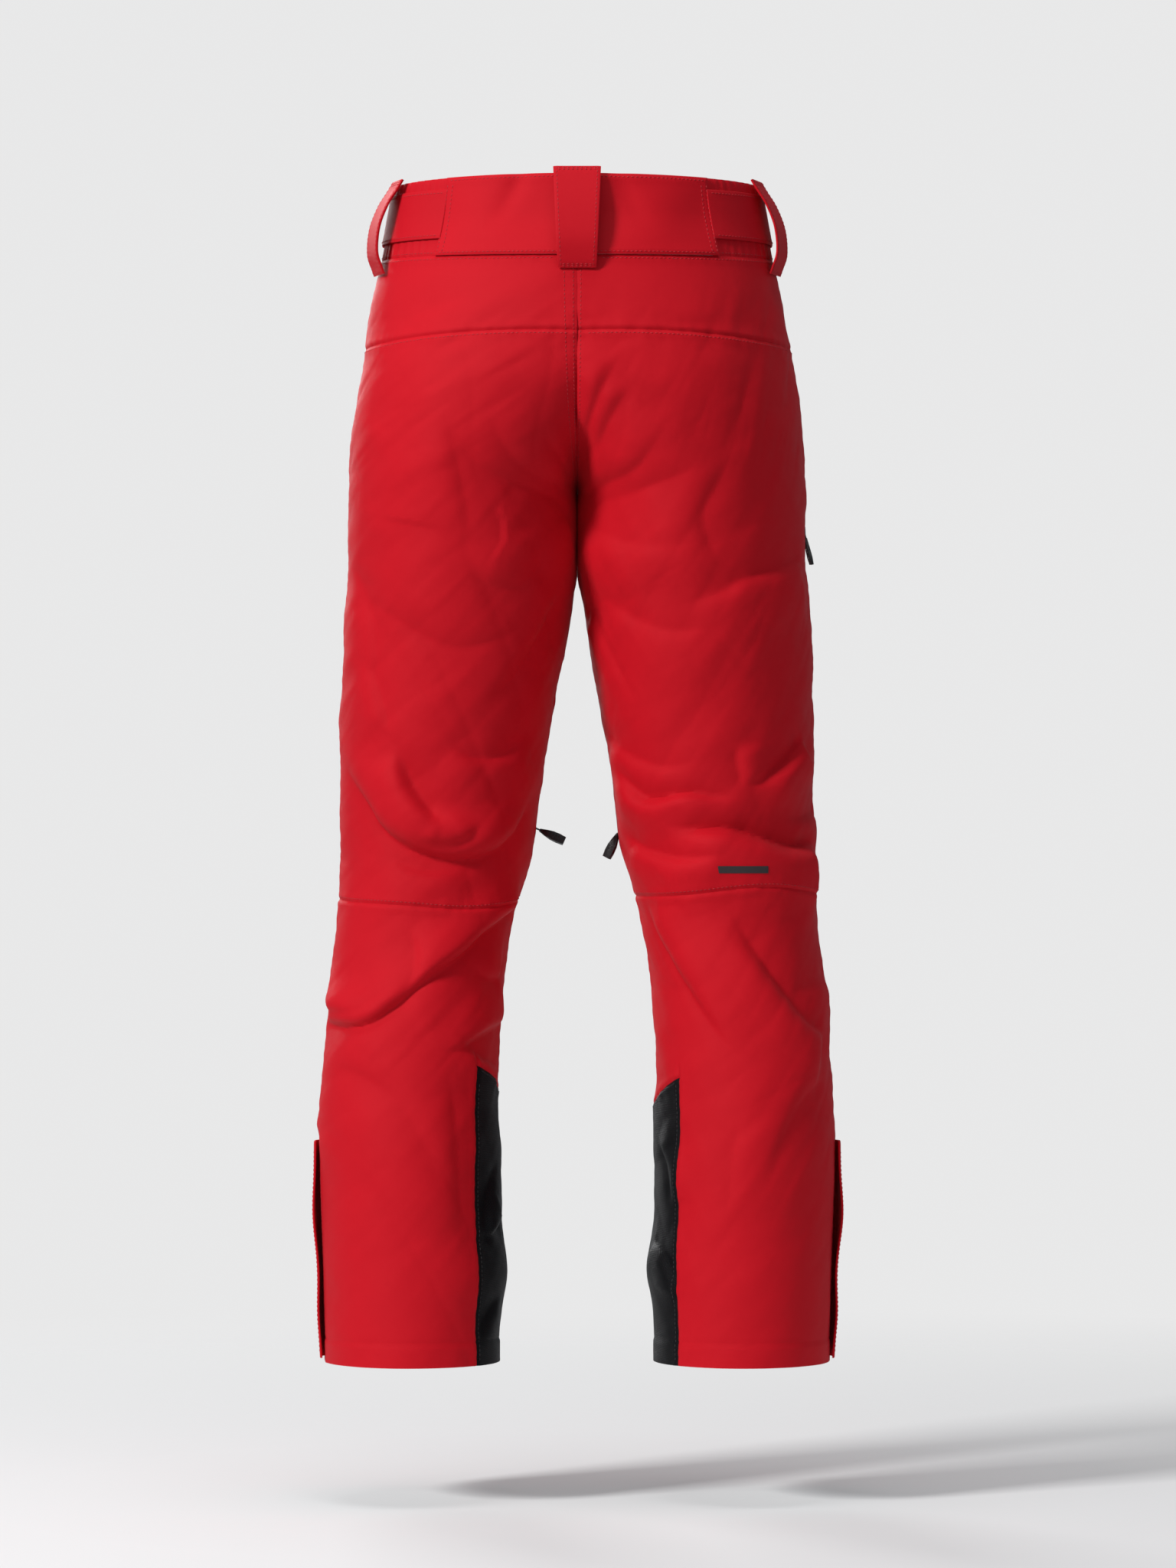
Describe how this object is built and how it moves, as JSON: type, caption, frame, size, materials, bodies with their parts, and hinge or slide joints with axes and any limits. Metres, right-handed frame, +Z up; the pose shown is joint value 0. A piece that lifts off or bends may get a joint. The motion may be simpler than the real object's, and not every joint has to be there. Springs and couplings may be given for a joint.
{
  "type": "ski pants",
  "caption": "Insulated ski pants in worn shape, with belt loops, waist adjuster tabs, fly, zipped vents and pockets, scuff guards, ankle storm flaps and inner gaiters.",
  "frame": {"origin": "centre of the waist opening at belt height, halfway up the waistband", "axes": "+Z up from the hems to the waist, +X to the wearer's left, -Y to the front"},
  "size_m": [0.4838, 0.2722, 1.0789],
  "materials": {
    "shell_fabric": "fine plain weave, matte with a slight sheen",
    "guard_fabric": "coarse coated weave, matte",
    "gaiter_fabric": "thin plain weave with a rubber band",
    "lining": "light tricot",
    "zip_tape": "water-resistant tape and coil",
    "moulded_black": "satin moulding",
    "dark_metal": "dark plated"
  },
  "bodies": {
    "pants": {"yoke_left": "shell_fabric", "back_thigh_left": "shell_fabric", "front_thigh_left": "shell_fabric", "back_calf_left": "shell_fabric", "front_shin_left": "shell_fabric", "scuff_guard_left": "guard_fabric", "waistband_side_left": "shell_fabric", "waistband_front_left": "shell_fabric", "waist_tab_left": "shell_fabric", "side_loop_left": "shell_fabric", "front_loop_left": "shell_fabric", "hand_pocket_zip_left": "zip_tape", "pocket_bag_left": "lining", "ankle_zip_left": "zip_tape", "gaiter_left": "gaiter_fabric", "vent_zip_left": "zip_tape", "yoke_right": "shell_fabric", "back_thigh_right": "shell_fabric", "front_thigh_right": "shell_fabric", "back_calf_right": "shell_fabric", "front_shin_right": "shell_fabric", "scuff_guard_right": "guard_fabric", "waistband_side_right": "shell_fabric", "waistband_front_right": "shell_fabric", "waist_tab_right": "shell_fabric", "side_loop_right": "shell_fabric", "front_loop_right": "shell_fabric", "hand_pocket_zip_right": "zip_tape", "pocket_bag_right": "lining", "cargo_zip": "zip_tape", "cargo_pocket": "shell_fabric", "ankle_zip_right": "zip_tape", "gaiter_right": "gaiter_fabric", "vent_zip_right": "zip_tape", "waistband_back": "shell_fabric", "back_loop": "shell_fabric", "fly_zip": "zip_tape", "snap_stud": "dark_metal"},
    "vent_slider_left": {"vent_slider_left": "dark_metal"},
    "vent_puller_left": {"vent_puller_left": "moulded_black"},
    "vent_slider_right": {"vent_slider_right": "dark_metal"},
    "vent_puller_right": {"vent_puller_right": "moulded_black"},
    "ankle_slider_left": {"ankle_slider_left": "dark_metal"},
    "ankle_puller_left": {"ankle_puller_left": "moulded_black"},
    "ankle_slider_right": {"ankle_slider_right": "dark_metal"},
    "ankle_puller_right": {"ankle_puller_right": "moulded_black"},
    "hand_pocket_slider_left": {"hand_pocket_slider_left": "dark_metal"},
    "hand_pocket_puller_left": {"hand_pocket_puller_left": "moulded_black"},
    "hand_pocket_slider_right": {"hand_pocket_slider_right": "dark_metal"},
    "hand_pocket_puller_right": {"hand_pocket_puller_right": "moulded_black"},
    "cargo_slider": {"cargo_slider": "dark_metal"},
    "cargo_puller": {"cargo_puller": "moulded_black"},
    "fly_slider": {"fly_slider": "dark_metal"},
    "fly_puller": {"fly_puller": "moulded_black"},
    "fly_flap": {"fly_flap": "shell_fabric", "snap_cap": "dark_metal"},
    "ankle_flap_left": {"ankle_flap_left": "shell_fabric"},
    "ankle_flap_right": {"ankle_flap_right": "shell_fabric"},
    "waist_tab_end_left": {"waist_tab_end_left": "shell_fabric"},
    "waist_tab_end_right": {"waist_tab_end_right": "shell_fabric"}
  },
  "joints": [
    {"name": "vent_slide_left", "type": "slide", "parent": "pants", "child": "vent_slider_left", "axis": [-0.1507, 0.0741, 0.9858], "range_m": [0, 0.165]},
    {"name": "vent_puller_swing_left", "type": "hinge", "parent": "vent_slider_left", "child": "vent_puller_left", "pos_m": [0.04021, -0.02268, -0.55053], "axis": [0, 0.9972, -0.075], "range_deg": [-40, 96]},
    {"name": "vent_slide_right", "type": "slide", "parent": "pants", "child": "vent_slider_right", "axis": [0.1507, 0.0741, 0.9858], "range_m": [0, 0.165]},
    {"name": "vent_puller_swing_right", "type": "hinge", "parent": "vent_slider_right", "child": "vent_puller_right", "pos_m": [-0.04021, -0.02268, -0.55053], "axis": [0, -0.9972, 0.075], "range_deg": [-2, 130]},
    {"name": "ankle_slide_left", "type": "slide", "parent": "pants", "child": "ankle_slider_left", "axis": [0.033, -0.0383, 0.9987], "range_m": [0, 0.128]},
    {"name": "ankle_puller_swing_left", "type": "hinge", "parent": "ankle_slider_left", "child": "ankle_puller_left", "pos_m": [0.22864, 0.02048, -0.99811], "axis": [0, -0.9993, -0.0383], "range_deg": [0, 4]},
    {"name": "ankle_slide_right", "type": "slide", "parent": "pants", "child": "ankle_slider_right", "axis": [-0.033, -0.0383, 0.9987], "range_m": [0, 0.128]},
    {"name": "ankle_puller_swing_right", "type": "hinge", "parent": "ankle_slider_right", "child": "ankle_puller_right", "pos_m": [-0.22864, 0.02048, -0.99811], "axis": [0, 0.9993, 0.0383], "range_deg": [0, 4]},
    {"name": "hand_pocket_slide_left", "type": "slide", "parent": "pants", "child": "hand_pocket_slider_left", "axis": [0.2439, -0.0201, -0.9696], "range_m": [0, 0.12]},
    {"name": "hand_pocket_puller_swing_left", "type": "hinge", "parent": "hand_pocket_slider_left", "child": "hand_pocket_puller_left", "pos_m": [0.14094, -0.07792, -0.06333], "axis": [0.6614, 0.7346, 0.1511], "range_deg": [-120, 0]},
    {"name": "hand_pocket_slide_right", "type": "slide", "parent": "pants", "child": "hand_pocket_slider_right", "axis": [-0.2439, -0.0201, -0.9696], "range_m": [0, 0.12]},
    {"name": "hand_pocket_puller_swing_right", "type": "hinge", "parent": "hand_pocket_slider_right", "child": "hand_pocket_puller_right", "pos_m": [-0.14094, -0.07792, -0.06333], "axis": [0.6614, -0.7346, -0.1511], "range_deg": [-120, 0]},
    {"name": "cargo_slide", "type": "slide", "parent": "pants", "child": "cargo_slider", "axis": [-0.0436, -0.0472, -0.9979], "range_m": [0, 0.145]},
    {"name": "cargo_puller_swing", "type": "hinge", "parent": "cargo_slider", "child": "cargo_puller", "pos_m": [-0.20816, -0.03825, -0.27881], "axis": [0.2922, -0.9558, 0.0324], "range_deg": [-140, 6]},
    {"name": "fly_slide", "type": "slide", "parent": "pants", "child": "fly_slider", "axis": [0, -0.0471, -0.9989], "range_m": [0, 0.112]},
    {"name": "fly_puller_swing", "type": "hinge", "parent": "fly_slider", "child": "fly_puller", "pos_m": [0, -0.116, 0.00016], "axis": [1, 0, 0], "range_deg": [-4, 0]},
    {"name": "fly_flap_swing", "type": "hinge", "parent": "pants", "child": "fly_flap", "pos_m": [0.03, -0.12269, -0.0705], "axis": [0, 0.0663, 0.9978], "range_deg": [0, 95]},
    {"name": "ankle_flap_left_swing", "type": "hinge", "parent": "pants", "child": "ankle_flap_left", "pos_m": [0.2315, -0.00103, -0.9345], "axis": [-0.0296, 0.0348, -0.999], "range_deg": [0, 100]},
    {"name": "ankle_flap_right_swing", "type": "hinge", "parent": "pants", "child": "ankle_flap_right", "pos_m": [-0.2315, -0.00103, -0.9345], "axis": [-0.0296, -0.0348, 0.999], "range_deg": [0, 100]},
    {"name": "waist_tab_end_left_swing", "type": "hinge", "parent": "pants", "child": "waist_tab_end_left", "pos_m": [0.17454, -0.00525, 0.0025], "axis": [-0.1771, -0.0373, 0.9835], "range_deg": [0, 80]},
    {"name": "waist_tab_end_right_swing", "type": "hinge", "parent": "pants", "child": "waist_tab_end_right", "pos_m": [-0.17454, -0.00525, 0.0025], "axis": [-0.1771, 0.0373, -0.9835], "range_deg": [0, 80]}
  ]
}
